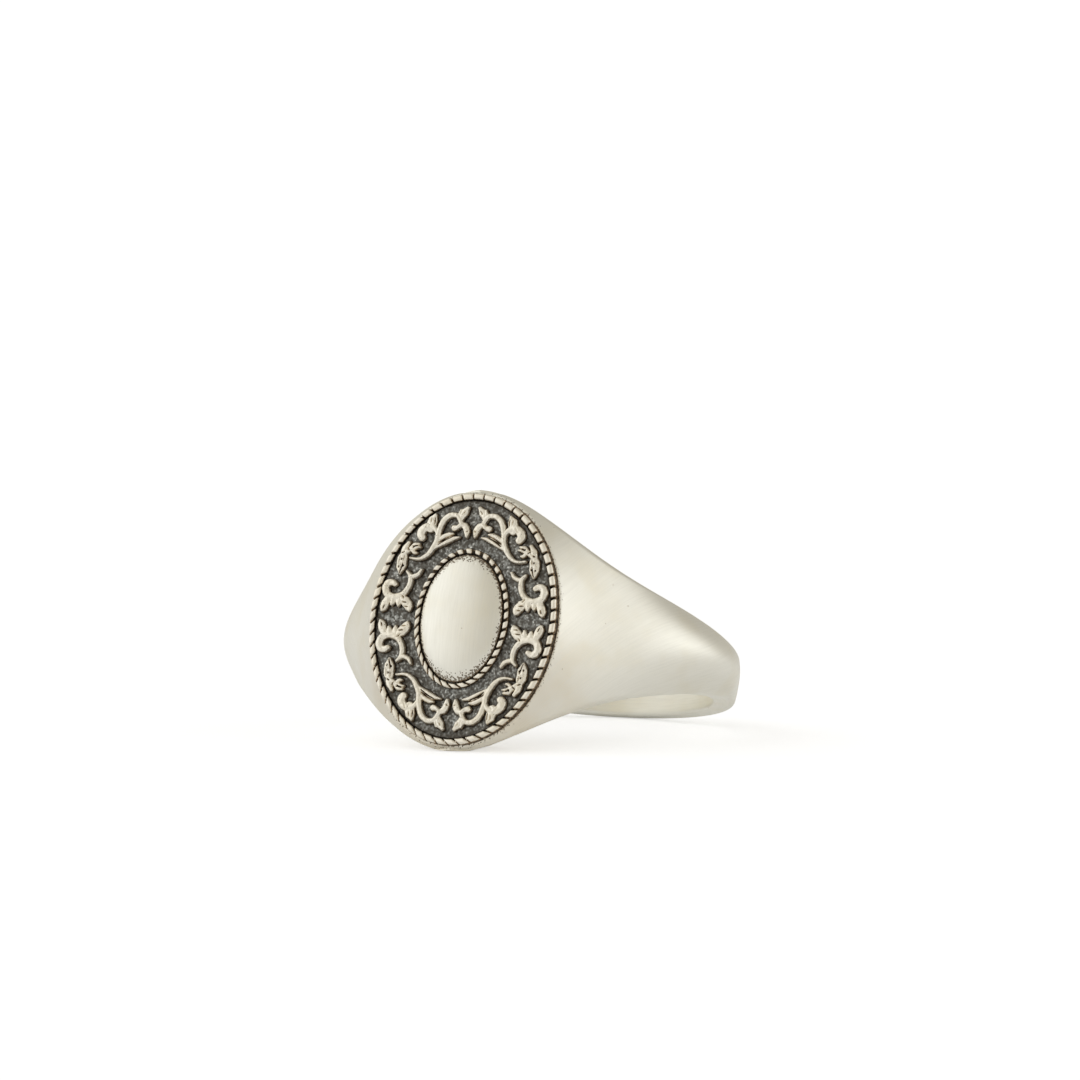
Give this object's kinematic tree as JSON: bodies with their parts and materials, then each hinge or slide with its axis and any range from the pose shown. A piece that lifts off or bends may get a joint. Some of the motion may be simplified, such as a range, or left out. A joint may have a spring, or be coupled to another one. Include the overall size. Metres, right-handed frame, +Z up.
{
  "type": "signet ring",
  "caption": "Oval signet ring in oxidised satin silver, with rope borders and mirrored scrollwork round a smooth dome.",
  "frame": {"origin": "bottom centre of the ring's box as it lies on its side on a bench, resting on the lower edge of the head and of the band", "axes": "+Z up from the bench; -Y towards the oval face, which looks slightly upwards; X across the face. The bore axis leans back from +Z by 15.04 degrees in the YZ plane"},
  "size_m": [0.0236, 0.025, 0.0146],
  "materials": {
    "satin_silver": "satin-brushed warm silver with fine pits",
    "relief_silver": "satin silver relief, rubbed bright on top and darkened in its hollows",
    "oxidised_silver": "blackened, granular oxidised silver"
  },
  "bodies": {
    "root": {"ring_body": "satin_silver", "ground_plate": "oxidised_silver", "outer_rope": "relief_silver", "inner_rope": "relief_silver", "dome": "satin_silver", "corner_scroll_upper_right": "relief_silver", "leaf_spray_upper_right": "relief_silver", "side_scroll_upper_right": "relief_silver", "corner_scroll_upper_left": "relief_silver", "leaf_spray_upper_left": "relief_silver", "side_scroll_upper_left": "relief_silver", "corner_scroll_lower_right": "relief_silver", "leaf_spray_lower_right": "relief_silver", "side_scroll_lower_right": "relief_silver", "corner_scroll_lower_left": "relief_silver", "leaf_spray_lower_left": "relief_silver", "side_scroll_lower_left": "relief_silver"}
  },
  "joints": []
}
